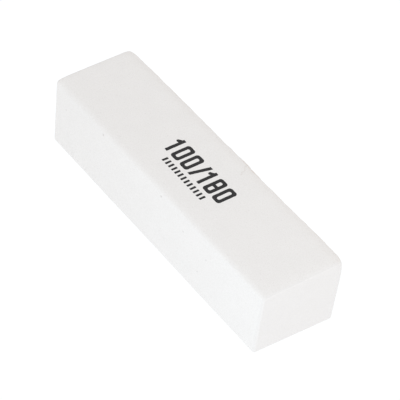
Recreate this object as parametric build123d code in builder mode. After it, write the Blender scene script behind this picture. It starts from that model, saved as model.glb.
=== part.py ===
"""Nail buffer block: a foam core with a grit coat bonded to each of its four long faces.

X runs along the block and +Z points up from the face that it rests on. The origin is the middle
of that resting face. Each long face has two layers: an elastic bond coat on the foam, and over it
the coat that holds the grit. Neighbouring faces' layers meet in mitres along the rounded long
edges. Both ends are bare foam. A legend of grit numbers is printed on the top face.
"""

import os

from build123d import *

# The block, outside its grit
LENGTH = 95.0
WIDTH = 26.4
HEIGHT = 21.7
LONG_EDGE_RADIUS = 1.5
END_EDGE_RADIUS = 0.9

# The layers, from the outside in
GRIT_THICKNESS = 0.35
BOND_THICKNESS = 0.15

# The printed legend
INK_THICKNESS = 0.03
LEGEND_X = 2.5
LEGEND_Y = 0.0
LEGEND_TEXT = "100/180"
NUMERAL_HEIGHT = 6.6
NUMERAL_WIDTH = 3.2
NUMERAL_GAP = 0.85
STROKE = 1.05
CORNER_RADIUS = 0.9
SLASH_LEAN = 1.5
TICK_COUNT = 13
TICK_PITCH = 1.4
TICK_WIDTH = 0.7
TICK_HEIGHT = 1.9
TICK_GAP = 1.2

# Looking along the block from its -X end: the section's own X is the block's Y, its own Y is Z
SECTION = Plane(origin=(-LENGTH / 2, 0, HEIGHT / 2), x_dir=(0, 1, 0), z_dir=(1, 0, 0))

# Each long face: how far the section turns to bring it on top, its width and the depth across it
LONG_FACES = {
    "top": (0, WIDTH, HEIGHT),
    "front": (90, HEIGHT, WIDTH),
    "bottom": (180, WIDTH, HEIGHT),
    "back": (270, HEIGHT, WIDTH),
}


def rounded_section(inset, mode=Mode.ADD):
    """The block's rounded section, this far inside its outer face."""
    RectangleRounded(
        WIDTH - 2 * inset, HEIGHT - 2 * inset, LONG_EDGE_RADIUS - inset, mode=mode
    )


def keep_one_face(face):
    """Keeps what lies over one long face, between the mitres through its two edges' centres."""
    turn, face_width, depth = LONG_FACES[face]
    centre_x = face_width / 2 - LONG_EDGE_RADIUS
    centre_y = depth / 2 - LONG_EDGE_RADIUS
    reach = 2 * LONG_EDGE_RADIUS
    Polygon(
        (-centre_x, centre_y),
        (centre_x, centre_y),
        (centre_x + reach, centre_y + reach),
        (-centre_x - reach, centre_y + reach),
        rotation=turn,
        align=None,
        mode=Mode.INTERSECT,
    )


def finish(part, name):
    """Labels a piece and writes it to its own file."""
    part.part.label = name
    export_step(part.part, f"parts/{name}.step")


os.makedirs("parts", exist_ok=True)

# The outer shape that every piece is trimmed to, rounded along its edges and around its ends
with BuildPart() as envelope:
    with BuildSketch(SECTION):
        rounded_section(0)
    extrude(amount=LENGTH)
    fillet(envelope.faces().filter_by(Axis.X).edges(), radius=END_EDGE_RADIUS)


def long_face_layer(face, outer_inset, thickness):
    """One long face's layer of this thickness, starting this far inside the outer face."""
    with BuildPart() as layer:
        with BuildSketch(SECTION):
            rounded_section(outer_inset)
            rounded_section(outer_inset + thickness, mode=Mode.SUBTRACT)
            keep_one_face(face)
        extrude(amount=LENGTH)
        add(envelope.part, mode=Mode.INTERSECT)
    return layer


# Foam core: fills everything inside the layers and shows at both ends
with BuildPart() as foam_core:
    with BuildSketch(SECTION):
        rounded_section(GRIT_THICKNESS + BOND_THICKNESS)
    extrude(amount=LENGTH)
    add(envelope.part, mode=Mode.INTERSECT)
finish(foam_core, "foam_core")

# Bond coats on the foam, and the grit coats over them
for face_name in LONG_FACES:
    finish(
        long_face_layer(face_name, GRIT_THICKNESS, BOND_THICKNESS),
        f"bond_coat_{face_name}",
    )
    finish(long_face_layer(face_name, 0, GRIT_THICKNESS), f"grit_coat_{face_name}")


def numeral_one():
    """A stem with a slanting flag, centred where it stands."""
    half = NUMERAL_HEIGHT / 2
    Rectangle(STROKE, NUMERAL_HEIGHT)
    Polygon(
        (-STROKE / 2, half),
        (-1.5 * STROKE, half - STROKE),
        (-1.5 * STROKE, half - 2 * STROKE),
        (-STROKE / 2, half - STROKE),
        align=None,
    )


def numeral_zero():
    """A tall ring with rounded corners."""
    RectangleRounded(NUMERAL_WIDTH, NUMERAL_HEIGHT, CORNER_RADIUS)
    RectangleRounded(
        NUMERAL_WIDTH - 2 * STROKE,
        NUMERAL_HEIGHT - 2 * STROKE,
        CORNER_RADIUS / 2,
        mode=Mode.SUBTRACT,
    )


def numeral_eight():
    """A tall ring with a bar across its middle."""
    numeral_zero()
    Rectangle(NUMERAL_WIDTH - STROKE, STROKE)


def slash():
    """A stroke leaning to the right."""
    half = NUMERAL_HEIGHT / 2
    Polygon(
        (-SLASH_LEAN / 2 - STROKE / 2, -half),
        (-SLASH_LEAN / 2 + STROKE / 2, -half),
        (SLASH_LEAN / 2 + STROKE / 2, half),
        (SLASH_LEAN / 2 - STROKE / 2, half),
        align=None,
    )


# Each character's drawing and the width that it takes in the line
CHARACTERS = {
    "0": (numeral_zero, NUMERAL_WIDTH),
    "1": (numeral_one, 2 * STROKE),
    "8": (numeral_eight, NUMERAL_WIDTH),
    "/": (slash, SLASH_LEAN + STROKE),
}


def draw_numerals():
    """The line of grit numbers, centred on the legend's place."""
    widths = [CHARACTERS[character][1] for character in LEGEND_TEXT]
    x = LEGEND_X - (sum(widths) + NUMERAL_GAP * (len(widths) - 1)) / 2
    for character, width in zip(LEGEND_TEXT, widths):
        with Locations((x + width / 2, LEGEND_Y)):
            CHARACTERS[character][0]()
        x += width + NUMERAL_GAP


def draw_ticks():
    """The row of short ticks below the numbers."""
    below = NUMERAL_HEIGHT / 2 + TICK_GAP + TICK_HEIGHT / 2
    with Locations((LEGEND_X, LEGEND_Y - below)):
        with GridLocations(TICK_PITCH, TICK_HEIGHT, TICK_COUNT, 1):
            Rectangle(TICK_WIDTH, TICK_HEIGHT)


# Printed legend: ink lying on the top face's grit
with BuildPart() as printed_legend:
    with BuildSketch(Plane.XY.offset(HEIGHT)):
        draw_numerals()
        draw_ticks()
    extrude(amount=INK_THICKNESS)
finish(printed_legend, "printed_legend")
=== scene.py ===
"""The looks of a nail buffer block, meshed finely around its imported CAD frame.

Every piece is rebuilt where the frame says that it is. The four grit coats and the bond coats
under them are swept along the long faces, the foam core shows at both ends, and the printed legend
lies on the top coat. Relief and unevenness are worked out from a point's nominal place alone, so
that neighbouring pieces still meet. Lengths are in metres, and MM turns millimetres into them.
"""

import math

import bmesh
import bpy
import numpy as np
from mathutils import Euler, Matrix, Vector


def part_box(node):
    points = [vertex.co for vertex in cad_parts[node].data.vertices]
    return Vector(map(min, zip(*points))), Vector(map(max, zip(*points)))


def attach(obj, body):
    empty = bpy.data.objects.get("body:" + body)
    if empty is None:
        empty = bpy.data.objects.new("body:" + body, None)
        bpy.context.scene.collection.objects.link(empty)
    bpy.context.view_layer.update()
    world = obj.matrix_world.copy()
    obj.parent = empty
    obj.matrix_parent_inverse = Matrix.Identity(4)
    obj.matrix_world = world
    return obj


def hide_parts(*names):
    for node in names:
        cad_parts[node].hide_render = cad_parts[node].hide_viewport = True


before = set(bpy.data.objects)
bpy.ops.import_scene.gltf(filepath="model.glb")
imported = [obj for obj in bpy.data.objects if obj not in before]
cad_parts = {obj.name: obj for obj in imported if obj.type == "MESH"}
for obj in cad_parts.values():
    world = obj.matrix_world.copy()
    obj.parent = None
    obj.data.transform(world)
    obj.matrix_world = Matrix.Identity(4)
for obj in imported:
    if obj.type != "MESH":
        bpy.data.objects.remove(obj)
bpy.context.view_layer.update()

MM = 0.001

# --- The block's sizes -------------------------------------------------------------------------

FOAM_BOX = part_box("foam_core")
LEGEND_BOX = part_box("printed_legend")
HALF_LENGTH = FOAM_BOX[1].x
HALF_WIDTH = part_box("grit_coat_back")[1].y
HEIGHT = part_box("grit_coat_top")[1].z
HALF_HEIGHT = HEIGHT / 2
BOND_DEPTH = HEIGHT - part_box("bond_coat_top")[1].z  # from the outer face down to the bond coat
FOAM_DEPTH = HEIGHT - FOAM_BOX[1].z  # from the outer face down to the foam
INK_HEIGHT = LEGEND_BOX[1].z - LEGEND_BOX[0].z
LONG_RADIUS = 1.5 * MM  # of the rounded edges along the block
END_RADIUS = 0.9 * MM  # of the rounded edges around its ends

ALONG = np.array((1.0, 0.0, 0.0))
ACROSS = np.array((0.0, 1.0, 0.0))
UP = np.array((0.0, 0.0, 1.0))

# Each long face: the direction across it, the one out of it, and the block's half sizes that way.
# The direction along the block, the one across and the one out are right-handed.
LONG_FACES = {
    "top": (ACROSS, UP, HALF_WIDTH, HALF_HEIGHT),
    "back": (-UP, ACROSS, HALF_HEIGHT, HALF_WIDTH),
    "bottom": (-ACROSS, -UP, HALF_WIDTH, HALF_HEIGHT),
    "front": (UP, -ACROSS, HALF_HEIGHT, HALF_WIDTH),
}

# --- Mesh spacing ------------------------------------------------------------------------------

SKIN_STEP = 0.19 * MM
HIDDEN_STEP = 4.0 * MM
ARC_STEPS = 8  # along half of a rounded long edge
GRIT_RIM_STEPS = 5  # around as much of an end's rounded edge as a grit coat takes up
BOND_RIM_STEPS = 2  # the same for a bond coat
FOAM_RIM_STEPS = 4  # and for the foam
SEAM_STEP = 0.02 * MM  # the last row beside a mitre, so that both sides shade alike there
UNDER_STEP = 0.3 * MM  # from a coat's rim to the first row of its hidden underside
SIDE_STEP = 0.4 * MM  # from the foam's rim to the first row of its hidden side
CAP_STEP = 0.2 * MM  # from the foam's rim to a flat ring inside it, and from there to the flat grid
INK_STEP = 0.1 * MM
SHARP_ANGLE = math.radians(48)  # folds of a mesh that are steeper than this stay sharp

# --- Unevenness of the whole block -------------------------------------------------------------

# How square each long edge is, as the powers of a superellipse across the block and upwards:
# 2 and 2 is a plain arc, and higher powers keep the faces flat for longer
EDGE_POWERS = {
    ("top", "front"): (2.0, 4.0),
    ("top", "back"): (2.0, 2.0),
    ("bottom", "front"): (4.0, 4.0),
    ("bottom", "back"): (4.0, 4.0),
}
NEWTON_STEPS = 8  # enough to find any point of such an edge
FOOT_POWER = 5.0  # the same, both ways, for the lower edges of the two ends

# How far out of true the block is cut, in mm
LEFT_END_SKEW = (-0.32, -0.58)  # how far the left end's back edge and its top edge move along X
RIGHT_END_TWIST = 0.42  # how far out the right end's lower back corner is, and its front one in
LOWER_BACK_CUT = 0.5  # how much narrower the block's foot is at that back corner
RIGHT_FOOT_CUT = 0.2  # how much shorter the block's foot is at the right end
LEFT_FOOT_CUT = 0.25  # and at the left end
FRONT_TWIST = (-0.08, -0.42)  # of the front's top edge: mid-length, and how much more at the right
BACK_LEAN = -0.02  # how far out the whole of the back's top edge is
BACK_BOW = 0.27  # how much further out it is between its ends
BOW_POWER = 6  # how close to its ends the bow reaches
BACK_RAG = 0.12  # how ragged that edge is
RAG_SIZE = 1.4  # how long its rags are
KNOCK_POWER = 6  # how close to the edge its raggedness and its steps stay

# Small steps along the back's top edge, where the coat has been knocked: X, size, both in mm
BACK_STEPS = ((-4.6, -0.14), (-2.4, 0.22), (7.5, -0.16), (12.4, -0.10), (30.0, 0.18))
BACK_STEP_RUN = 0.4  # half the length over which a step rises or falls

# How the top falls away towards each of its edges: depth at the edge and width, both in mm
SHOULDERS = {"front": (0.36, 4.2), "back": (0.36, 3.4), "left": (0.24, 2.2), "right": (0.42, 3.6)}
FRONT_SHOULDER_LEAN = 0.45  # how much more of it there is at the left end, and less at the right

# How far corners are worn in, along the block and across it: which corner, amount in mm
CORNER_WEAR = (((-1, 1, 1), 0.6), ((1, 1, 1), 0.6))
CORNER_REACH = np.array((3.0, 3.0, 6.0))  # how far from the corner that reaches, in mm

# --- Relief ------------------------------------------------------------------------------------

TURN = np.array(Euler((0.61, 0.93, 0.37)).to_matrix())  # keeps noise grids off the flat faces
TABLE_SIZE = 64
FAR = 9.0  # further than any distance that is looked for below, in mm or cell sizes
NEARLY_ZERO = 1e-9

# Seeds of what is random. The skin's waves have 0, 1, 2 and 3.
PORE_SEED = 5
CRACK_SEED = 21
FOAM_SEEDS = (31, 32)
BURST_SEED = 33
KNIFE_SEED = 34
INK_SEED = 41
RAG_SEED = 51
PATCH_SEED = 61

# Waves of the coated skin: size and height in mm, from the foam's slow unevenness to the grit
SKIN_WAVES = ((13.0, 0.030), (4.0, 0.010), (1.3, 0.007), (0.55, 0.008))
SKIN_SINK = sum(height for size, height in SKIN_WAVES)

# The cut foam of the ends, in mm: how deep it lies, its waves as above, and its burst cells
FOAM_SINK = 0.05
FOAM_WAVES = ((5.0, 0.018), (1.1, 0.008))
BURST_SIZE = 0.42
BURST_DEPTH = 0.028
BURST_RADIUS = 0.55  # as a share of a cell's size
RELIEF_FADE = 0.5 * MM  # from the coats inwards: how far the skin's relief fades into the foam's

# Faint marks of the knife across the foam: height in mm, and radians per mm upwards
KNIFE_HEIGHT = 0.004
KNIFE_TURNS = 7.3
KNIFE_WANDER = 2.5  # how far they stray, in radians
KNIFE_WANDER_SIZE = 6.0  # over this many mm

# Pores of the coats: face, place along the block, place across the face, radius, all in mm
PORES = (
    ("front", -41.9, 4.0, 0.16),
    ("front", -36.6, 10.1, 0.14),
    ("front", -24.0, 9.1, 0.24),
    ("front", 3.1, 9.1, 0.24),
    ("front", 24.1, 3.6, 0.17),
    ("front", 21.3, -3.3, 0.17),
    ("front", 13.6, 5.0, 0.20),
    ("top", -23.4, 0.3, 0.12),
)
SCATTERED_PORES = 6  # more of them, at random, on each long face
SCATTERED_RADII = (0.08, 0.12)
SCATTER_MARGINS = (2, 1)  # how far they stay from the ends and from the long edges
PORE_DEPTH = 0.09
PORE_SPREAD = 4  # how many radii from its middle a pore has run out

# A hairline crack in the coats, from the top's back edge inwards: X and Y in mm
CRACK = ((6.3, 12.9), (6.8, 11.9), (7.0, 11.1), (7.9, 10.5), (8.2, 10.0), (8.1, 9.4), (8.9, 8.6))
CRACK_WIDTH = 0.12
CRACK_DEPTH = 0.06
CRACK_WANDER = 0.16  # how far it strays from those points
CRACK_WANDER_SIZE = 0.7
CRACK_FADE = 0.6  # how much fainter it is at the edge than at its inner end
CRACK_FOOT = (0.5, 0.8)  # the shares of the block's height between which it runs out

# Darkening in the top's edges: how strong at the edge, and how far that reaches, in mm
EDGE_PATCHES = (0.5, 0.42)  # patchy, along the back edge
BLOTCH_PATCHES = (0.9, 0.6)  # patchy, in one blotch on it
BACK_EDGE_SHADE = (0.16, 2.4)  # even painted shade along the back edge, where the top rolls away from the light
LEFT_EDGE_SHADE = (0.12, 1.2)  # even painted shade along the left end, where the top rolls away from the light
BLOTCH = (4.8, 11.6)  # where the blotch starts and ends along the block, in mm
BLOTCH_FADE = 1.0
PATCH_LEVEL = 0.6  # how much of the patchy darkening there is on average
PATCH_SIZE = 0.8

RIM_BAND = (1.0, 0.35)  # from the ends, in mm: where the coat starts to thin, and where it is thin


def smooth(low, high, value):
    """0 below low, 1 above high, and an even slope between them."""
    t = np.clip((value - low) / (high - low), 0, 1)
    return t * t * (3 - 2 * t)


def noise(points, size, seed):
    """Smooth noise from -1 to 1 at points in mm, with features of this size."""
    table = np.random.default_rng(seed).uniform(-1, 1, (TABLE_SIZE,) * 3)
    spot = points @ TURN / size + TABLE_SIZE / 2
    cell = np.floor(spot).astype(int)
    part = spot - cell
    part = part * part * (3 - 2 * part)
    total = np.zeros(len(points))
    for corner in np.ndindex(2, 2, 2):
        weight = np.prod(np.where(corner, part, 1 - part), axis=1)
        total += weight * table[tuple(((cell + corner) % TABLE_SIZE).T)]
    return total


def cells(points, size, seed):
    """Distance, in cell sizes, from points in mm to the nearest of one random spot per cell."""
    table = np.random.default_rng(seed).uniform(0, 1, (TABLE_SIZE,) * 3 + (3,))
    spot = points @ TURN / size + TABLE_SIZE / 2
    cell = np.floor(spot).astype(int)
    nearest = np.full(len(points), FAR)
    for step in np.ndindex(3, 3, 3):
        other = cell + np.array(step) - 1
        centre = other + table[tuple((other % TABLE_SIZE).T)]
        nearest = np.minimum(nearest, np.linalg.norm(spot - centre, axis=1))
    return nearest


def line_gap(x, y, start, end):
    """Distance from places in a plane to the straight line between two of its points."""
    run = np.subtract(end, start)
    t = np.clip(((x - start[0]) * run[0] + (y - start[1]) * run[1]) / (run @ run), 0, 1)
    return np.hypot(x - start[0] - t * run[0], y - start[1] - t * run[1])


def face_point(face, along, across):
    """The point of a long face's plane at this place, in mm, from the face's middle."""
    direction, out, _, depth = LONG_FACES[face]
    middle = UP * HALF_HEIGHT / MM + out * depth / MM
    return middle + ALONG * along + direction * across


def all_pores():
    """Centres and radii of every pore, in mm."""
    random = np.random.default_rng(PORE_SEED)
    found = [(face_point(face, x, across), radius) for face, x, across, radius in PORES]
    end_margin, edge_margin = SCATTER_MARGINS
    for face, (_, _, half, _) in LONG_FACES.items():
        for _ in range(SCATTERED_PORES):
            x = random.uniform(-1, 1) * (HALF_LENGTH / MM - end_margin)
            across = random.uniform(-1, 1) * (half / MM - edge_margin)
            found.append((face_point(face, x, across), random.uniform(*SCATTERED_RADII)))
    return found


ALL_PORES = all_pores()


def pore_share(points):
    """How deep in a pore each point in mm is, from 0 to 1."""
    share = np.zeros(len(points))
    for centre, radius in ALL_PORES:
        near = np.abs(points[:, 0] - centre[0]) < PORE_SPREAD * radius
        gap = np.linalg.norm(points[near] - centre, axis=1)
        share[near] = np.maximum(share[near], np.exp(-((gap / radius) ** 2)))
    return share


def crack_share(points):
    """How deep in the crack each point in mm is, from 0 to 1."""
    x, y, z = points.T
    x = x + CRACK_WANDER * noise(points, CRACK_WANDER_SIZE, CRACK_SEED)
    gap = np.full(len(points), FAR)
    for start, end in zip(CRACK[:-1], CRACK[1:]):
        gap = np.minimum(gap, line_gap(x, y, start, end))
    fade = 1 - CRACK_FADE * smooth(CRACK[-1][1], CRACK[0][1], y)
    low, high = (share * HEIGHT / MM for share in CRACK_FOOT)
    return np.exp(-((gap / CRACK_WIDTH) ** 2)) * fade * smooth(low, high, z)


def faded(distance, band):
    """The strength of a band of darkening at this distance in mm from its edge."""
    strength, width = band
    return strength * np.exp(-((distance / width) ** 2))


def shade_and_patch_share(points):
    """How dark each point in mm is: patches and a blotch on the top's back edge, painted shade there
    and at the left.
    """
    x, y, z = points.T
    down = HEIGHT / MM - z
    rounding = (math.sqrt(2) - 1) * LONG_RADIUS / MM  # from the sharp corner to the rounded edge
    from_edge = np.clip(np.hypot(HALF_WIDTH / MM - y, down) - rounding, 0, None)
    from_left = np.hypot(HALF_LENGTH / MM + x, down)
    start, end = BLOTCH
    blotch = smooth(start - BLOTCH_FADE, start + BLOTCH_FADE, x)
    blotch *= smooth(-end - BLOTCH_FADE, BLOTCH_FADE - end, -x)
    patchy = np.clip(PATCH_LEVEL + noise(points, PATCH_SIZE, PATCH_SEED), 0, 1)
    patch_darkening = faded(from_edge, EDGE_PATCHES) + blotch * faded(from_edge, BLOTCH_PATCHES)
    # patchy darkening, then even painted shade where the back edge and the left end roll away from the
    # light
    return patchy * patch_darkening + faded(from_edge, BACK_EDGE_SHADE) + faded(from_left, LEFT_EDGE_SHADE)


def rim_share(points):
    """How much the coat has thinned at each point in mm, from 0 to 1 at the rims of the ends."""
    start, end = RIM_BAND
    return smooth(-start, -end, np.abs(points[:, 0]) - HALF_LENGTH / MM)


def skin_relief(points):
    """How far the coated skin lies below its nominal face, as a negative height in metres."""
    spots = points / MM
    height = np.full(len(spots), -SKIN_SINK)
    for seed, (size, amount) in enumerate(SKIN_WAVES):
        height += amount * noise(spots, size, seed)
    height -= PORE_DEPTH * pore_share(spots)
    height -= CRACK_DEPTH * crack_share(spots)
    return height * MM


def foam_relief(points):
    """The same for the cut foam of the ends: burst cells, slow waves and faint knife marks."""
    spots = points / MM
    height = np.full(len(spots), -FOAM_SINK)
    for seed, (size, amount) in zip(FOAM_SEEDS, FOAM_WAVES):
        height += amount * noise(spots, size, seed)
    height -= BURST_DEPTH * np.clip(BURST_RADIUS - cells(spots, BURST_SIZE, BURST_SEED), 0, 1)
    wander = KNIFE_WANDER * noise(spots, KNIFE_WANDER_SIZE, KNIFE_SEED)
    height += KNIFE_HEIGHT * np.sin(spots[:, 2] * KNIFE_TURNS + wander)
    return height * MM


# --- Geometry ----------------------------------------------------------------------------------


def section_point(face, across, inset):
    """Points and outward directions around the block's section, this far inside its outer face.

    across is measured along the outer face, from its middle to a mitre and past the flat part.
    """
    direction, out, half, depth = LONG_FACES[face]
    flat = half - LONG_RADIUS
    angle = np.clip(np.abs(across) - flat, 0, None) / LONG_RADIUS
    radius = LONG_RADIUS - inset
    side = np.sign(across)
    sideways = side * (np.minimum(np.abs(across), flat) + radius * np.sin(angle))
    outwards = depth - LONG_RADIUS + radius * np.cos(angle)
    normal = (side * np.sin(angle))[..., None] * direction + np.cos(angle)[..., None] * out
    point = sideways[..., None] * direction + outwards[..., None] * out
    return point + UP * HALF_HEIGHT, normal


def across_stations(face):
    """Places across a long face from mitre to mitre."""
    flat = LONG_FACES[face][2] - LONG_RADIUS
    limit = flat + LONG_RADIUS * math.pi / 4
    count = round(2 * flat / SKIN_STEP)
    arc = np.linspace(flat, limit - SEAM_STEP, ARC_STEPS)[1:]
    arc = np.append(arc, limit)
    return np.concatenate((-arc[::-1], np.linspace(-flat, flat, count + 1), arc))


def end_arc(from_depth, to_depth, steps):
    """Stations around an end's rounded edge: distance along the block, inset and tilt."""
    low, high = (math.acos(1 - depth / END_RADIUS) for depth in (from_depth, to_depth))
    tilt = np.linspace(low, high, steps + 1)
    x = HALF_LENGTH - END_RADIUS + END_RADIUS * np.sin(tilt)
    return np.column_stack((x, END_RADIUS * (1 - np.cos(tilt)), tilt))


def flipped(path):
    """The same stations at the other end, in the other order."""
    return path[::-1] * (-1, 1, -1)


def skin_point(face, path, across):
    """Points and normals of the block's nominal skin, for every station and place across."""
    x, inset, tilt = (column[:, None] for column in path.T)
    point, normal = section_point(face, across[None, :], inset)
    point[..., 0] = x
    normal = normal * np.cos(tilt)[..., None]
    normal[..., 0] = np.sin(tilt)
    return point, normal


def squared_edges(points):
    """Points moved out from the long edges' centre lines, to make some of the edges sharper."""
    y, z = points[:, 1], points[:, 2] - HALF_HEIGHT
    across = np.clip(np.abs(y) - HALF_WIDTH + LONG_RADIUS, 0, None) / LONG_RADIUS
    upward = np.clip(np.abs(z) - HALF_HEIGHT + LONG_RADIUS, 0, None) / LONG_RADIUS
    reach = np.maximum(np.hypot(across, upward), NEARLY_ZERO)
    sideways, upright = across / reach, upward / reach
    stretch = np.ones(len(points))
    for (level, side), (power_across, power_up) in EDGE_POWERS.items():
        here = (across > 0) & (upward > 0)
        here &= (z > 0) == (level == "top")
        here &= (y < 0) == (side == "front")
        scale = np.ones(here.sum())
        for _ in range(NEWTON_STEPS):
            first = (scale * sideways[here]) ** power_across
            second = (scale * upright[here]) ** power_up
            slope = (power_across * first + power_up * second) / scale
            scale -= (first + second - 1) / slope
        stretch[here] = scale
    moved = points.copy()
    moved[:, 1] += np.sign(y) * across * LONG_RADIUS * (stretch - 1)
    moved[:, 2] += np.sign(z) * upward * LONG_RADIUS * (stretch - 1)
    return moved


def squared_foot(points):
    """Points moved out to make the lower edges of the two ends sharper than the upper ones."""
    along = np.clip(np.abs(points[:, 0]) - HALF_LENGTH + END_RADIUS, 0, None)
    down = np.clip(END_RADIUS - points[:, 2], 0, None)
    inside = (along > 0) & (down > 0)
    reach = np.where(inside, np.hypot(along, down), 1)
    share = (along / reach) ** FOOT_POWER + (down / reach) ** FOOT_POWER
    stretch = np.where(inside, share, 1) ** (-1 / FOOT_POWER)
    moved = points.copy()
    moved[:, 0] += np.sign(points[:, 0]) * along * (stretch - 1)
    moved[:, 2] -= down * (stretch - 1)
    return moved


def fallen(distance, side):
    """How far the top has fallen at this distance from one of its edges, in mm."""
    depth, width = SHOULDERS[side]
    return depth * np.clip(1 - distance / (width * MM), 0, 1) ** 2


def worn_corners(points):
    """How each point moves where a corner of the block is worn, in mm."""
    half = np.array((HALF_LENGTH, HALF_WIDTH, HALF_HEIGHT))
    from_middle = points - UP * HALF_HEIGHT
    total = np.zeros(points.shape)
    for corner, amount in CORNER_WEAR:
        distance = (half - from_middle * corner) / (CORNER_REACH * MM)
        share = np.prod(np.clip(1 - distance, 0, 1), axis=1) ** 2
        total -= amount * share[:, None] * (corner * (ALONG + ACROSS))
    return total


def settle(points):
    """The block's own unevenness: no hand-cut foam stick is quite straight or square."""
    moved = squared_foot(squared_edges(points))
    along = moved[:, 0] / HALF_LENGTH  # this and the next two go from -1 to 1
    across = moved[:, 1] / HALF_WIDTH
    up = moved[:, 2] / HALF_HEIGHT - 1
    left, right = (1 - along) / 2, (1 + along) / 2  # these go from 0 to 1
    front, back = (1 - across) / 2, (1 + across) / 2
    low, high = (1 - up) / 2, (1 + up) / 2
    upper = smooth(0, 1, up)
    skew = LEFT_END_SKEW[0] * across + LEFT_END_SKEW[1] * up
    bow = BACK_LEAN + BACK_BOW * (1 - along**BOW_POWER)
    knocks = BACK_RAG * noise(points * ALONG / MM, RAG_SIZE, RAG_SEED)
    for place, size in BACK_STEPS:
        knocks += size * smooth(place - BACK_STEP_RUN, place + BACK_STEP_RUN, moved[:, 0] / MM)
    fall = fallen(HALF_WIDTH + moved[:, 1], "front") * (1 - FRONT_SHOULDER_LEAN * along)
    fall += fallen(HALF_WIDTH - moved[:, 1], "back")
    fall += fallen(HALF_LENGTH + moved[:, 0], "left") + fallen(HALF_LENGTH - moved[:, 0], "right")
    shift = worn_corners(moved)
    shift[:, 0] += left * skew + left * low * LEFT_FOOT_CUT
    shift[:, 0] += right * low * (RIGHT_END_TWIST * across - RIGHT_FOOT_CUT)
    shift[:, 1] += front * high * (FRONT_TWIST[0] + FRONT_TWIST[1] * along)
    shift[:, 1] += back * upper * bow + (back * upper) ** KNOCK_POWER * knocks
    shift[:, 1] -= right * back * low * LOWER_BACK_CUT
    shift[:, 2] -= fall * upper
    return moved + shift * MM


def zipped(first, second, first_at, second_at):
    """Triangles between two rows of vertices, matched by their places along the rows."""
    faces, i, j = [], 0, 0
    while i + 1 < len(first) or j + 1 < len(second):
        first_next = i + 1 < len(first) and (
            j + 1 == len(second) or first_at[i + 1] <= second_at[j + 1]
        )
        if first_next:
            faces.append((first[i], first[i + 1], second[j]))
            i += 1
        else:
            faces.append((second[j + 1], second[j], first[i]))
            j += 1
    return faces


def make_object(name, points, faces, material, uv=None, marks=None):
    """A smooth-shaded mesh object with outward faces, and its bake map and point marks if any."""
    mesh = bpy.data.meshes.new(name)
    mesh.from_pydata(points.tolist(), [], faces)
    if uv is not None:
        layer = mesh.uv_layers.new(name="OFBake")
        layer.data.foreach_set("uv", np.asarray(uv, np.float32).ravel())
    for mark, values in (marks or {}).items():
        attribute = mesh.attributes.new(mark, "FLOAT", "POINT")
        attribute.data.foreach_set("value", np.asarray(values, np.float32))
    shape = bmesh.new()
    shape.from_mesh(mesh)
    bmesh.ops.recalc_face_normals(shape, faces=shape.faces)
    shape.to_mesh(mesh)
    shape.free()
    mesh.shade_smooth()
    mesh.set_sharp_from_angle(angle=SHARP_ANGLE)
    mesh.materials.append(material)
    piece = bpy.data.objects.new(name, mesh)
    bpy.context.scene.collection.objects.link(piece)
    return piece


def stations(reach, inset, step):
    """Stations along the block at one depth, about this step apart, from one end to the other."""
    x = np.linspace(-reach, reach, round(2 * reach / step) + 1)
    return np.column_stack((x, np.full(len(x), inset), np.zeros(len(x))))


def make_layer(name, face, outer, inner, material):
    """One long face's layer between two depths, as a loop along the block swept across the face."""
    across = across_stations(face)
    is_grit = outer == 0
    rim = end_arc(outer, inner, GRIT_RIM_STEPS if is_grit else BOND_RIM_STEPS)
    upper = stations(rim[0, 0], outer, SKIN_STEP if is_grit else HIDDEN_STEP)
    under = stations(rim[-1, 0] - UNDER_STEP, inner, HIDDEN_STEP)[::-1]
    outer_path = np.concatenate((flipped(rim), upper[1:-1], rim))
    loop = np.concatenate((outer_path, under))
    top_count = len(outer_path)
    shown = top_count if is_grit else len(rim)  # stations that show, from each end of outer_path
    skin = np.zeros(len(loop), bool)
    skin[:shown] = skin[top_count - shown : top_count] = True
    point, normal = skin_point(face, loop, across)
    point[skin] += normal[skin] * lowered(point[skin], skin_relief)[..., None]
    rows, columns = point.shape[:2]
    index = np.arange(rows * columns).reshape(rows, columns)
    after = np.roll(index, -1, axis=0)
    quads = np.stack((index[:, :-1], after[:, :-1], after[:, 1:], index[:, 1:]), -1)
    faces = quads.reshape(-1, 4).tolist()
    walls = []  # the two mitred sides, where the neighbouring faces' layers meet this one
    for column, turn in ((columns - 1, 1), (0, -1)):
        upper_row = index[:top_count, column]
        under_row = index[top_count:, column][::-1]
        for triangle in zipped(upper_row, under_row, loop[:top_count, 0], under[::-1, 0]):
            walls.append([int(v) for v in triangle[::turn]])
    flat_points = point.reshape(-1, 3)
    spots = flat_points / MM
    marks = {
        # painted shade inside the pores and along the crack
        "pore": pore_share(spots),
        "crack": crack_share(spots),
        # painted shade along the top's back and left edges, with patchy darkening along the back edge
        "shade_and_patches": shade_and_patch_share(spots),
        "rim": rim_share(spots),
    }
    uv = grit_uv(walls, loop, across, top_count) if is_grit else None
    return make_object(name, settle(flat_points), faces + walls, material, uv, marks)


def lowered(points, relief):
    """A relief's heights for an array of points of any shape."""
    return relief(points.reshape(-1, 3)).reshape(points.shape[:-1])


# A grit coat's bake map: the skin's left half and its right half are two rows across the map. The
# hidden underside is a strip above them, and its two mitred walls are lines above that.
MAP_ROW_HEIGHT = 0.47
MAP_ROW_PITCH = 0.48
MAP_STRIP_LIFT = 0.965
MAP_STRIP_HEIGHT = 0.02
MAP_WALL_LIFTS = (0.990, 0.995)
MAP_WALL_LENGTH = 0.99
MAP_WALL_SCALE = 3.0  # height on the map for a metre of the wall's depth
MAP_MARGIN = 0.001


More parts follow.
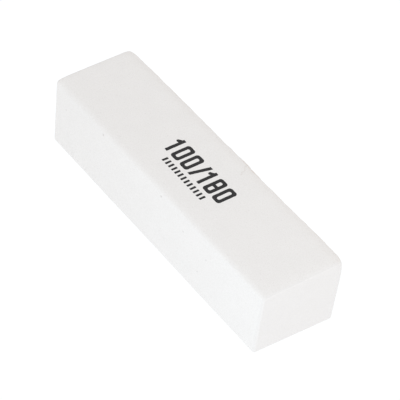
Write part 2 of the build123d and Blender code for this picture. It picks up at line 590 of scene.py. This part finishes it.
def grit_uv(walls, loop, across, top_count):
    """The bake map's place for every corner of a grit coat's quads, and then of its walls."""
    rows, columns = len(loop), len(across)
    middle = int(np.argmin(np.abs(loop[:top_count, 0])))
    arc = np.concatenate(([0], np.cumsum(np.hypot(*np.diff(loop[:top_count, :2], axis=0).T))))
    width = MAP_ROW_HEIGHT * (across - across[0]) / (across[-1] - across[0])
    result = np.zeros((rows, columns - 1, 4, 2))
    for row in range(rows):
        if row < top_count - 1:
            in_left_half = row < middle
            start, end = (0, middle) if in_left_half else (middle, top_count - 1)
            run = arc[end] - arc[start]
            here, after = ((arc[r] - arc[start]) / run for r in (row, row + 1))
            v = width if in_left_half else width + MAP_ROW_PITCH
        else:
            hidden_rows = rows - top_count + 1
            here, after = ((r - top_count + 1) / hidden_rows for r in (row, row + 1))
            v = MAP_STRIP_LIFT + MAP_STRIP_HEIGHT * width / MAP_ROW_HEIGHT
        u = np.array((here, after, after, here))
        result[row, :, :, 0] = u * (1 - 2 * MAP_MARGIN) + MAP_MARGIN
        result[row, :, :, 1] = np.stack((v[:-1], v[:-1], v[1:], v[1:]), -1) + 2 * MAP_MARGIN
    wall_uv = []
    for number, wall in enumerate(walls):
        lift = MAP_WALL_LIFTS[number >= len(walls) // 2]
        for vertex in wall:
            x, inset, _ = loop[vertex // columns]
            u = 0.5 + MAP_WALL_LENGTH * x / (2 * HALF_LENGTH)
            wall_uv.append((u, lift + MAP_WALL_SCALE * inset))
    return np.concatenate((result.reshape(-1, 2), np.array(wall_uv)))


def make_core(name, material):
    """The foam core: rounded rings and a flat grid at each end, and a hidden side between them."""
    sides = [across_stations(face) for face in LONG_FACES]
    # Places around the section: each face takes up 2, whatever its width
    whole_turn = 2 * len(sides)
    places = np.concatenate([2 * k + 1 + side[:-1] / side[-1] for k, side in enumerate(sides)])
    points, faces = [], []

    def ring(path):
        """Adds a closed ring of vertices for each station of a path, and returns their numbers."""
        first = sum(len(p) for p in points)
        rows = []
        for face, across in zip(LONG_FACES, sides):
            point, normal = skin_point(face, path, across)
            rows.append((point[:, :-1], normal[:, :-1]))
        point = np.concatenate([row[0] for row in rows], axis=1)
        normal = np.concatenate([row[1] for row in rows], axis=1)
        points.append(textured(point, normal, path).reshape(-1, 3))
        return first + np.arange(point.shape[0] * point.shape[1]).reshape(point.shape[:2])

    def textured(point, normal, path):
        """Moves an end's points in by the relief of the skin, fading into that of the foam."""
        at_end = np.abs(point[..., 0]) > HALF_LENGTH - END_RADIUS
        inner = smooth(FOAM_DEPTH, FOAM_DEPTH + RELIEF_FADE, path[:, 1])[:, None]
        skin, foam = lowered(point, skin_relief), lowered(point, foam_relief)
        return point + normal * ((skin + (foam - skin) * inner) * at_end)[..., None]

    def bands(rows):
        """Quads between neighbouring rings."""
        after = np.roll(rows, -1, axis=1)
        quads = np.stack((rows[:-1], after[:-1], after[1:], rows[1:]), -1)
        faces.extend(quads.reshape(-1, 4).tolist())

    def flat_end(outer_ring, sign, inset):
        """The flat grid inside the last ring, and the triangles that join the two."""
        half_y, half_z = HALF_WIDTH - inset - CAP_STEP, HALF_HEIGHT - inset - CAP_STEP
        count_y, count_z = round(2 * half_y / SKIN_STEP), round(2 * half_z / SKIN_STEP)
        y, z = np.meshgrid(
            np.linspace(-half_y, half_y, count_y + 1),
            np.linspace(-half_z, half_z, count_z + 1),
            indexing="ij",
        )
        point = np.stack((np.full(y.shape, sign * HALF_LENGTH), y, z + HALF_HEIGHT), -1)
        point[..., 0] += sign * lowered(point, foam_relief)
        first = sum(len(p) for p in points)
        points.append(point.reshape(-1, 3))
        index = first + np.arange(y.size).reshape(y.shape)
        quads = np.stack((index[:-1, :-1], index[1:, :-1], index[1:, 1:], index[:-1, 1:]), -1)
        faces.extend(quads.reshape(-1, 4).tolist())
        edges = (index[:, -1], index[-1, ::-1], index[::-1, 0], index[0, :])
        inner_ring = np.concatenate([edge[:-1] for edge in edges])
        inner_at = np.concatenate(
            [2 * k + np.linspace(0, 2, len(edge))[:-1] for k, edge in enumerate(edges)]
        )
        faces.extend(
            [int(v) for v in triangle]
            for triangle in zipped(
                np.append(outer_ring, outer_ring[0]),
                np.append(inner_ring, inner_ring[0]),
                np.append(places, whole_turn),
                np.append(inner_at, whole_turn),
            )
        )

    rim = end_arc(FOAM_DEPTH, END_RADIUS, FOAM_RIM_STEPS)
    inset = END_RADIUS + CAP_STEP
    cap = np.concatenate((rim, ((HALF_LENGTH, inset, math.pi / 2),)))
    side = stations(rim[0, 0] - SIDE_STEP, FOAM_DEPTH, HIDDEN_STEP)
    rows = ring(np.concatenate((flipped(cap), side, cap)))
    bands(rows)
    flat_end(rows[0], -1, inset)
    flat_end(rows[-1], 1, inset)
    return make_object(name, settle(np.concatenate(points)), faces, material)


# --- The printed legend ------------------------------------------------------------------------

# Its text and its sizes in mm, the same as the CAD's
LEGEND_TEXT = "100/180"
NUMERAL_HEIGHT = 6.6
NUMERAL_WIDTH = 3.2
NUMERAL_GAP = 0.85
STROKE = 1.05
CORNER_RADIUS = 0.9
SLASH_LEAN = 1.5
TICK_COUNT = 13
TICK_PITCH = 1.4
TICK_WIDTH = 0.7
TICK_HEIGHT = 1.9
TICK_GAP = 1.2
ADVANCES = {"0": NUMERAL_WIDTH, "1": 2 * STROKE, "8": NUMERAL_WIDTH, "/": SLASH_LEAN + STROKE}

# How the ink lies, in mm
BAR_ROUNDING = 0.12  # of the corners of bars, stems and ticks
FLAG = (0.7, 1.5)  # how far below the top the 1's flag starts and ends, in strokes
INK_RAG = 0.03  # how ragged the ink's outline is
INK_RAG_SIZE = 0.35
INK_MARGIN = 0.5  # how far the grid that it is cut from goes past the CAD's legend
INK_EDGE_WIDTH = 0.15  # from its outline to where it is full
INK_EDGE_SHARE = 0.35  # how thick it is at its outline, as a share
INK_SUNK_SHARE = 0.5  # how far it goes down into the grit, as a share of its thickness


def box_gap(x, y, width, height, radius=BAR_ROUNDING):
    """Signed distance to a rounded rectangle around the origin."""
    dx = np.abs(x) - width / 2 + radius
    dy = np.abs(y) - height / 2 + radius
    outside = np.hypot(np.maximum(dx, 0), np.maximum(dy, 0))
    return outside + np.minimum(np.maximum(dx, dy), 0) - radius


def stroke_gap(x, y, start, end):
    """Signed distance to a straight stroke with round ends."""
    return line_gap(x, y, start, end) - STROKE / 2


def zero_gap(x, y):
    """Signed distance to a 0: a tall ring with rounded corners."""
    hole = box_gap(
        x, y, NUMERAL_WIDTH - 2 * STROKE, NUMERAL_HEIGHT - 2 * STROKE, CORNER_RADIUS / 2
    )
    return np.maximum(box_gap(x, y, NUMERAL_WIDTH, NUMERAL_HEIGHT, CORNER_RADIUS), -hole)


def eight_gap(x, y):
    """Signed distance to an 8: the same ring with a bar across its middle."""
    return np.minimum(zero_gap(x, y), box_gap(x, y, NUMERAL_WIDTH - STROKE, STROKE))


def one_gap(x, y):
    """Signed distance to a 1: a stem with a slanting flag."""
    start, end = (NUMERAL_HEIGHT / 2 - strokes * STROKE for strokes in FLAG)
    flag = stroke_gap(x, y, (0, start), (-STROKE, end))
    return np.minimum(box_gap(x, y, STROKE, NUMERAL_HEIGHT), flag)


def slash_gap(x, y):
    """Signed distance to a slash, cut off level at its top and bottom."""
    half = NUMERAL_HEIGHT / 2
    stroke = stroke_gap(x, y, (-SLASH_LEAN / 2, -half), (SLASH_LEAN / 2, half))
    return np.maximum(stroke, np.abs(y) - half)


GLYPHS = {"0": zero_gap, "1": one_gap, "8": eight_gap, "/": slash_gap}


def legend_gap(x, y):
    """Signed distance to the whole legend's ink, in mm, with x and y from its numbers' centre."""
    widths = [ADVANCES[character] for character in LEGEND_TEXT]
    left = -(sum(widths) + NUMERAL_GAP * (len(widths) - 1)) / 2
    gap = np.full(x.shape, FAR)
    for character, width in zip(LEGEND_TEXT, widths):
        gap = np.minimum(gap, GLYPHS[character](x - left - width / 2, y))
        left += width + NUMERAL_GAP
    row = -NUMERAL_HEIGHT / 2 - TICK_GAP - TICK_HEIGHT / 2
    for number in range(TICK_COUNT):
        place = (number - (TICK_COUNT - 1) / 2) * TICK_PITCH
        gap = np.minimum(gap, box_gap(x - place, y - row, TICK_WIDTH, TICK_HEIGHT))
    return gap


def cut_out(x, y, gap):
    """The part of a grid where gap is below 0, with its cells trimmed to that outline.

    Gives the places of its vertices, how deep inside the outline each is, its polygons, and the
    edges of them that lie on the outline.
    """
    numbers, places, depths = {}, [], []

    def vertex(key, place, depth):
        """The number of a vertex, which is made on its first use."""
        if key not in numbers:
            numbers[key] = len(places)
            places.append(place)
            depths.append(depth)
        return numbers[key]

    polygons, borders = [], []
    inside = gap < 0
    busy = inside[:-1, :-1] | inside[1:, :-1] | inside[1:, 1:] | inside[:-1, 1:]
    for i, j in zip(*np.nonzero(busy)):
        corners = ((i, j), (i + 1, j), (i + 1, j + 1), (i, j + 1))
        polygon, crossings = [], []
        for here, there in zip(corners, corners[1:] + corners[:1]):
            if inside[here]:
                polygon.append(vertex(here, (x[here[0]], y[here[1]]), -gap[here]))
            if inside[here] != inside[there]:
                share = gap[here] / (gap[here] - gap[there])
                place = (
                    x[here[0]] + share * (x[there[0]] - x[here[0]]),
                    y[here[1]] + share * (y[there[1]] - y[here[1]]),
                )
                polygon.append(vertex(tuple(sorted((here, there))), place, 0.0))
                crossings.append((len(polygon) - 1, inside[here]))
        polygons.append(polygon)
        for at, leaving in crossings:
            if leaving:
                borders.append((polygon[at], polygon[(at + 1) % len(polygon)]))
    return np.array(places), np.array(depths), polygons, borders


def make_legend(name, material):
    """The ink as a thin film over the top coat, cut out of a fine grid along its own outline."""
    middle_x = (LEGEND_BOX[0].x + LEGEND_BOX[1].x) / 2 / MM
    middle_y = LEGEND_BOX[1].y / MM - NUMERAL_HEIGHT / 2
    step = INK_STEP / MM
    x = np.arange(LEGEND_BOX[0].x / MM - INK_MARGIN, LEGEND_BOX[1].x / MM + INK_MARGIN, step)
    y = np.arange(LEGEND_BOX[0].y / MM - INK_MARGIN, LEGEND_BOX[1].y / MM + INK_MARGIN, step)
    grid_x, grid_y = np.meshgrid(x, y, indexing="ij")
    flat = np.stack((grid_x, grid_y, np.full(grid_x.shape, HEIGHT / MM)), -1)
    rag = INK_RAG * noise(flat.reshape(-1, 3), INK_RAG_SIZE, INK_SEED).reshape(grid_x.shape)
    gap = legend_gap(grid_x - middle_x, grid_y - middle_y) + rag
    plan, depths, polygons, borders = cut_out(x, y, gap)
    level = np.column_stack((plan, np.full(len(plan), HEIGHT / MM))) * MM
    ground = level[:, 2] + skin_relief(level)
    full = smooth(0, INK_EDGE_WIDTH, depths)
    film = INK_HEIGHT * (INK_EDGE_SHARE + (1 - INK_EDGE_SHARE) * full)
    upper = np.column_stack((level[:, :2], ground + film))
    under = np.column_stack((level[:, :2], ground - INK_SUNK_SHARE * INK_HEIGHT))
    count = len(plan)
    faces = polygons + [[v + count for v in polygon[::-1]] for polygon in polygons]
    faces += [[a, a + count, b + count, b] for a, b in borders]
    return make_object(name, settle(np.concatenate((upper, under))), faces, material)


# --- Materials ---------------------------------------------------------------------------------


class Shader:
    """A material's nodes, with short ways to add the few kinds that this file uses."""

    def __init__(self, name):
        self.material = bpy.data.materials.new(name)
        self.material.use_nodes = True
        self.tree = self.material.node_tree
        self.surface = self.tree.nodes["Principled BSDF"]
        place = self.tree.nodes.new("ShaderNodeTexCoord")
        self.place = place.outputs["Object"]

    def feed(self, socket, value):
        """Links an output to a socket, or sets the socket's own value."""
        if isinstance(value, bpy.types.NodeSocket):
            self.tree.links.new(value, socket)
        else:
            socket.default_value = value

    def maths(self, operation, first, second=0.0, third=0.0):
        """The result of one of Blender's maths operations."""
        node = self.tree.nodes.new("ShaderNodeMath")
        node.operation = operation
        for socket, value in zip(node.inputs, (first, second, third)):
            self.feed(socket, value)
        return node.outputs[0]

    def ranged(self, value, low, high, to_low, to_high):
        """value, from low to high, turned into to_low to to_high and kept inside them."""
        node = self.tree.nodes.new("ShaderNodeMapRange")
        for socket, number in zip(node.inputs, (value, low, high, to_low, to_high)):
            self.feed(socket, number)
        return node.outputs[0]

    def noise(self, size, detail=2.0, roughness=0.5):
        """Smooth noise with features of this size in metres."""
        node = self.tree.nodes.new("ShaderNodeTexNoise")
        self.feed(node.inputs["Vector"], self.place)
        node.inputs["Scale"].default_value = 1 / size
        node.inputs["Detail"].default_value = detail
        node.inputs["Roughness"].default_value = roughness
        return node.outputs["Fac"]

    def grains(self, size, output="Distance"):
        """Cells of this size in metres: the distance from each one's middle, or its own colour."""
        node = self.tree.nodes.new("ShaderNodeTexVoronoi")
        self.feed(node.inputs["Vector"], self.place)
        node.inputs["Scale"].default_value = 1 / size
        return node.outputs[output]

    def mark(self, name):
        """A mark that the mesh carries at its points."""
        node = self.tree.nodes.new("ShaderNodeAttribute")
        node.attribute_name = name
        return node.outputs["Fac"]

    def mixed(self, share, first, second):
        """first where share is 0 and second where it is 1."""
        node = self.tree.nodes.new("ShaderNodeMix")
        node.data_type = "RGBA"
        self.feed(node.inputs["Factor"], share)
        for socket, colour in (("A", first), ("B", second)):
            self.feed(node.inputs[socket], (*colour, 1) if isinstance(colour, tuple) else colour)
        return node.outputs["Result"]

    def finish(self, colour, roughness, specular=0.5):
        """Sets the surface's colour and how much it shines."""
        self.feed(self.surface.inputs["Base Color"], colour)
        self.feed(self.surface.inputs["Roughness"], roughness)
        self.feed(self.surface.inputs["Specular IOR Level"], specular)

    def bump(self, height, distance, strength):
        """Fine relief: height from 0 to 1 stands for this distance in metres."""
        node = self.tree.nodes.new("ShaderNodeBump")
        node.inputs["Strength"].default_value = strength
        node.inputs["Distance"].default_value = distance
        self.feed(node.inputs["Height"], height)
        self.feed(self.surface.inputs["Normal"], node.outputs["Normal"])


# Sizes of what the materials show
GRAIN_SIZE = 0.17 * MM  # grains of the grit
GRIT_CLOUDS = 5.5 * MM
GRIT_CLUMPS = 0.38 * MM
BOND_CLOUDS = 1.2 * MM
BOND_BUMPS = 0.25 * MM
FOAM_CLOUDS = 3.2 * MM
FOAM_CELLS = 0.24 * MM
FOAM_CLUMPS = 0.5 * MM
INK_PATCHES = 0.9 * MM

# The two colours that each material's clouds go between
GRIT_TONES = ((0.804, 0.788, 0.778), (0.819, 0.803, 0.793))
BOND_TONES = ((0.775, 0.757, 0.745), (0.80, 0.783, 0.772))
FOAM_TONES = ((0.788, 0.768, 0.758), (0.798, 0.779, 0.770))
INK_TONES = ((0.016, 0.016, 0.017), (0.028, 0.027, 0.027))

PAINTED_SHADE = (0.52, 0.49, 0.46)  # painted shade in the gaps between grains, and in the foam's pits
DARK_GRAIN = (0.45, 0.40, 0.35)
WORN_INK = (0.16, 0.155, 0.15)

# What darkens the grit coats: the mark that shows where, how much, and the colour there
GRIT_MARKS = (
    # painted shade inside the pores
    ("pore", 0.62, (0.22, 0.19, 0.17)),
    # painted shade along the crack
    ("crack", 0.24, (0.42, 0.33, 0.26)),
    # painted shade along the top's back and left edges, with patchy darkening along the back edge
    ("shade_and_patches", 0.34, (0.50, 0.36, 0.27)),
    ("rim", 0.58, (0.745, 0.730, 0.722)),
)


def grit_material():
    """White resin full of fine grains, matt, with a grain here and there that catches the light."""
    shader = Shader("white_grit")
    clouds = shader.noise(GRIT_CLOUDS, detail=3.0, roughness=0.6)
    clumps = shader.noise(GRIT_CLUMPS, detail=3.0, roughness=0.65)
    grain = shader.grains(GRAIN_SIZE)
    chance = shader.tree.nodes.new("ShaderNodeSeparateColor")
    shader.feed(chance.inputs[0], shader.grains(GRAIN_SIZE, "Color"))
    tone = shader.ranged(clouds, 0.3, 0.7, 0.0, 1.0)
    colour = shader.mixed(tone, *GRIT_TONES)
    # Painted shade between the grains and in the hollows between clumps, where the bump below sinks
    gaps = shader.ranged(grain, 0.25, 0.75, 0.0, 0.12)
    gaps = shader.maths("ADD", gaps, shader.ranged(clumps, 0.35, 0.65, 0.08, -0.05))
    colour = shader.mixed(gaps, colour, PAINTED_SHADE)
    dark_share = shader.ranged(chance.outputs[0], 0.975, 0.985, 0.0, 0.14)
    colour = shader.mixed(dark_share, colour, DARK_GRAIN)
    for mark, strength, dark in GRIT_MARKS:
        share = shader.maths("MULTIPLY", shader.mark(mark), strength)
        colour = shader.mixed(share, colour, dark)
    glint = shader.ranged(chance.outputs[1], 0.93, 0.95, 0.0, 1.0)
    shader.finish(colour, shader.ranged(glint, 0.0, 1.0, 0.86, 0.38), specular=0.4)
    height = shader.maths("MULTIPLY_ADD", shader.ranged(grain, 0.0, 0.8, 1.0, 0.0), 0.45, clumps)
    shader.bump(height, distance=0.038 * MM, strength=0.8)
    return shader.material


def bond_material():
    """The elastic white coat under the grit, a little darker, warmer and smoother than it."""
    shader = Shader("white_bond")
    clouds = shader.noise(BOND_CLOUDS, detail=3.0, roughness=0.6)
    colour = shader.mixed(clouds, *BOND_TONES)
    shader.finish(colour, shader.ranged(clouds, 0.3, 0.7, 0.55, 0.7))
    shader.bump(shader.noise(BOND_BUMPS), distance=0.02 * MM, strength=0.6)
    return shader.material


def foam_material():
    """Bare closed-cell foam: matt, slightly warm, with burst cells."""
    shader = Shader("white_foam")
    clouds = shader.noise(FOAM_CLOUDS, detail=3.0, roughness=0.6)
    cell = shader.grains(FOAM_CELLS)
    clumps = shader.noise(FOAM_CLUMPS, detail=3.0, roughness=0.6)
    tone = shader.ranged(clouds, 0.3, 0.7, 0.0, 1.0)
    colour = shader.mixed(tone, *FOAM_TONES)
    # Painted shade in the burst cells' pits and in the hollows between clumps, where the bump below
    # sinks
    pits = shader.ranged(cell, 0.0, 0.6, 0.08, 0.0)
    pits = shader.maths("ADD", pits, shader.ranged(clumps, 0.35, 0.65, 0.05, -0.03))
    colour = shader.mixed(pits, colour, PAINTED_SHADE)
    shader.finish(colour, shader.ranged(cell, 0.0, 0.6, 0.95, 0.8), specular=0.35)
    height = shader.maths("MULTIPLY_ADD", shader.ranged(cell, 0.0, 0.7, 0.0, 1.0), 0.6, clumps)
    shader.bump(height, distance=0.030 * MM, strength=0.7)
    return shader.material


def ink_material():
    """Matt black pad-printing ink, worn thin over the highest grains."""
    shader = Shader("black_ink")
    grain = shader.grains(GRAIN_SIZE)
    patch = shader.noise(INK_PATCHES, detail=3.0, roughness=0.6)
    high_grains = shader.ranged(grain, 0.0, 0.22, 1.0, 0.0)
    worn = shader.maths("MULTIPLY", high_grains, shader.ranged(patch, 0.5, 0.75, 0.0, 0.5))
    colour = shader.mixed(patch, *INK_TONES)
    colour = shader.mixed(worn, colour, WORN_INK)
    shader.finish(colour, shader.ranged(patch, 0.3, 0.7, 0.62, 0.78), specular=0.3)
    height = shader.maths("MULTIPLY_ADD", shader.ranged(grain, 0.0, 0.8, 1.0, 0.0), 0.5, patch)
    shader.bump(height, distance=0.03 * MM, strength=0.6)
    return shader.material


# --- The object --------------------------------------------------------------------------------


def place_piece(piece, node):
    """Puts a piece in the place of its CAD node."""
    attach(piece, "root")
    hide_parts(node)


grit, bond, foam, ink = grit_material(), bond_material(), foam_material(), ink_material()

core = make_core("foam_stick", foam)
place_piece(core, "foam_core")

for face_name in LONG_FACES:
    bond_piece = make_layer(f"bond_skin_{face_name}", face_name, BOND_DEPTH, FOAM_DEPTH, bond)
    place_piece(bond_piece, f"bond_coat_{face_name}")
    grit_piece = make_layer(f"grit_skin_{face_name}", face_name, 0.0, BOND_DEPTH, grit)
    place_piece(grit_piece, f"grit_coat_{face_name}")

place_piece(make_legend("grit_legend", ink), "printed_legend")

# --- The stage ---------------------------------------------------------------------------------

FLOOR_SIZE = 6.0
FLOOR_DROP = 0.02 * MM  # how far it lies below the block
FLOOR_COLOUR = (0.03, 0.03, 0.03, 1)
FLOOR_GLOW = (0.985, 1.0, 1.012, 1)  # the colour of its own light


def make_floor():
    """A plain floor that glows white by itself, so that no shadow shows on it."""
    shader = Shader("white_floor")
    shader.finish(FLOOR_COLOUR, roughness=1.0, specular=0.0)
    shader.surface.inputs["Emission Color"].default_value = FLOOR_GLOW
    shader.surface.inputs["Emission Strength"].default_value = 1.0
    mesh = bpy.data.meshes.new("floor")
    half = FLOOR_SIZE / 2
    square = ((-half, -half), (half, -half), (half, half), (-half, half))
    mesh.from_pydata([(x, y, -FLOOR_DROP) for x, y in square], [], [(0, 1, 2, 3)])
    mesh.materials.append(shader.material)
    floor = bpy.data.objects.new("floor", mesh)
    bpy.context.scene.collection.objects.link(floor)


WORLD_LEVEL = 1.129  # the studio's brightness, level with the block
WORLD_SLOPE = (0.071, -0.019, -0.21)  # how much more of it there is towards +X, +Y and +Z


def make_world():
    """A white studio: soft light from all around, with less of it overhead and more at the right."""
    world = bpy.data.worlds.new("studio")
    bpy.context.scene.world = world
    world.use_nodes = True
    tree = world.node_tree
    back = tree.nodes["Background"]
    place = tree.nodes.new("ShaderNodeTexCoord")
    slope = tree.nodes.new("ShaderNodeVectorMath")
    slope.operation = "DOT_PRODUCT"
    level = tree.nodes.new("ShaderNodeMath")
    level.operation = "ADD"
    tree.links.new(place.outputs["Generated"], slope.inputs[0])
    slope.inputs[1].default_value = WORLD_SLOPE
    tree.links.new(slope.outputs["Value"], level.inputs[0])
    level.inputs[1].default_value = WORLD_LEVEL
    back.inputs["Color"].default_value = (1, 1, 1, 1)
    tree.links.new(level.outputs[0], back.inputs["Strength"])


LIGHT_TARGET = (0.04, 0, 0.01)  # low on the right half of the block

# Soft boxes: name, place, size of a side, power in watts, colour
LIGHTS = (
    ("key", (0.09, -0.14, 0.05), 0.06, 0.0371, (0.84, 1.0, 1.11)),
    ("fill", (0.10, 0.06, 0.12), 0.08, 0.0115, (1.0, 1.0, 0.97)),
)


def make_light(name, place, size, power, colour):
    """A square soft box at place, turned to the lights' target."""
    data = bpy.data.lights.new(name, "AREA")
    data.size = size
    data.energy = power
    data.color = colour
    light = bpy.data.objects.new(name, data)
    light.location = place
    light.visible_camera = False
    direction = Vector(LIGHT_TARGET) - Vector(place)
    light.rotation_euler = direction.to_track_quat("-Z", "Y").to_euler()
    bpy.context.scene.collection.objects.link(light)


VIEW_AZIMUTH = math.radians(47.76)  # from straight in front of the front face towards the +X end
VIEW_ELEVATION = math.radians(43.97)
VIEW_ROLL = math.radians(-8.54)
VIEW_DISTANCE = 561.6 * MM
VIEW_LENS = 188.0  # millimetres, on Blender's own 36 mm sensor
VIEW_TARGET = Vector((1.98, 1.51, 10.13)) * MM


def make_camera():
    """A long lens above the block's front right-hand corner, tilted a little to its left."""
    flat = math.cos(VIEW_ELEVATION)
    towards = Vector(
        (math.sin(VIEW_AZIMUTH) * flat, -math.cos(VIEW_AZIMUTH) * flat, math.sin(VIEW_ELEVATION))
    )
    right = Vector((0, 0, 1)).cross(towards).normalized()
    up = towards.cross(right)
    level = Matrix((right, up, towards)).transposed().to_4x4()
    data = bpy.data.cameras.new("camera")
    data.lens = VIEW_LENS
    camera = bpy.data.objects.new("camera", data)
    place = Matrix.Translation(VIEW_TARGET + towards * VIEW_DISTANCE)
    camera.matrix_world = place @ level @ Matrix.Rotation(-VIEW_ROLL, 4, "Z")
    bpy.context.scene.collection.objects.link(camera)
    bpy.context.scene.camera = camera


make_floor()
make_world()
for light_sizes in LIGHTS:
    make_light(*light_sizes)
make_camera()
bpy.context.scene.view_settings.view_transform = "Standard"
